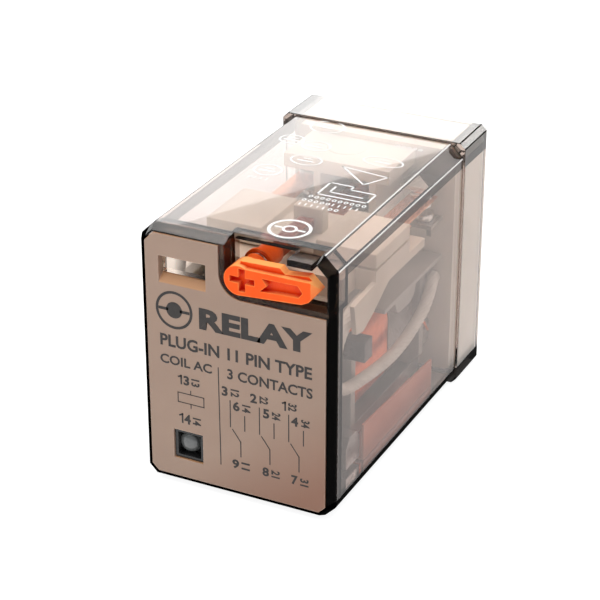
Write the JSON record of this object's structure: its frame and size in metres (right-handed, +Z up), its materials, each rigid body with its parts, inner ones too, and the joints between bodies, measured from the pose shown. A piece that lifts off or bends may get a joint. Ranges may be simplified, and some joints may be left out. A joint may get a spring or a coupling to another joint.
{
  "type": "plug in relay",
  "caption": "Plug-in relay in a clear plastic housing, with changeover contacts, a coil, flat terminal blades and an orange push lever for testing.",
  "frame": {"origin": "centre of the rear face that seats in the socket", "axes": "+Y along the terminal blades, away from the label face; +Z up as the label reads; +X to the right seen from the label face"},
  "size_m": [0.0208, 0.0432, 0.0276],
  "materials": {
    "clear_cover": "smoke-tinted clear plastic, glossy",
    "label_plastic": "satin off-white moulding",
    "dark_plastic": "dark glossy moulding",
    "lamp_grey": "unlit lamp, grey",
    "base_plastic": "cream moulding",
    "bobbin_plastic": "grey-beige moulding",
    "carrier_plastic": "beige moulding",
    "enamelled_wire": "copper wire under clear enamel",
    "tape": "thin grey tape",
    "insulator_sheet": "salmon insulating sheet",
    "soft_iron": "zinc-plated iron",
    "copper": "bare copper",
    "spring_steel": "spring steel strip",
    "spring_bronze": "copper alloy spring strip",
    "tinned_blade": "tinned copper alloy",
    "contact_silver": "silver alloy rivet",
    "lead_sleeve": "white-grey sleeved braid",
    "orange_plastic": "bright orange moulding",
    "flag_plastic": "cream flag"
  },
  "bodies": {
    "housing": {"cover": "clear_cover", "label_plate": "label_plastic", "lamp_surround": "dark_plastic", "indicator_lamp": "lamp_grey", "base": "base_plastic", "contact_separator": "base_plastic", "coil_bobbin": "bobbin_plastic", "coil_winding": "enamelled_wire", "coil_tape": "tape", "coil_insulator": "insulator_sheet", "core": "soft_iron", "shading_ring": "copper", "yoke": "soft_iron", "return_spring": "spring_steel", "lamp_circuit": "dark_plastic", "rest_terminal_1": "tinned_blade", "rest_terminal_2": "tinned_blade", "rest_terminal_3": "tinned_blade", "work_terminal_1": "tinned_blade", "work_terminal_2": "tinned_blade", "work_terminal_3": "tinned_blade", "common_terminal_1": "tinned_blade", "common_terminal_2": "tinned_blade", "common_terminal_3": "tinned_blade", "coil_terminal_1": "tinned_blade", "coil_terminal_2": "tinned_blade", "rest_contacts": "contact_silver", "work_contacts": "contact_silver", "coil_leads": "enamelled_wire", "flexible_lead_1": "lead_sleeve", "flexible_lead_2": "lead_sleeve", "flexible_lead_3": "lead_sleeve"},
    "armature_group": {"armature": "soft_iron", "armature_rivets": "soft_iron", "contact_carrier": "carrier_plastic", "spring_clamp": "carrier_plastic", "indicator_flag": "flag_plastic", "moving_spring_1": "spring_bronze", "moving_spring_2": "spring_bronze", "moving_spring_3": "spring_bronze", "moving_contact_1": "contact_silver", "moving_contact_2": "contact_silver", "moving_contact_3": "contact_silver"},
    "test_button": {"test_lever": "orange_plastic", "test_plunger": "orange_plastic"}
  },
  "joints": [
    {"name": "test_push", "type": "slide", "parent": "housing", "child": "test_button", "axis": [0, 1, 0], "range_m": [0, 0.001], "stiffness_N_per_m": 600, "springref_m": -0.0005},
    {"name": "armature_rock", "type": "hinge", "parent": "housing", "child": "armature_group", "pos_m": [0, -0.0283, -0.0115], "axis": [1, 0, 0], "range_deg": [-2.5, 0], "deforming": ["flexible_lead_1", "flexible_lead_2", "flexible_lead_3", "return_spring"]}
  ],
  "couplings": [
    {"joint": "armature_rock", "follows": "test_push", "rad_per_m": -43.633}
  ]
}
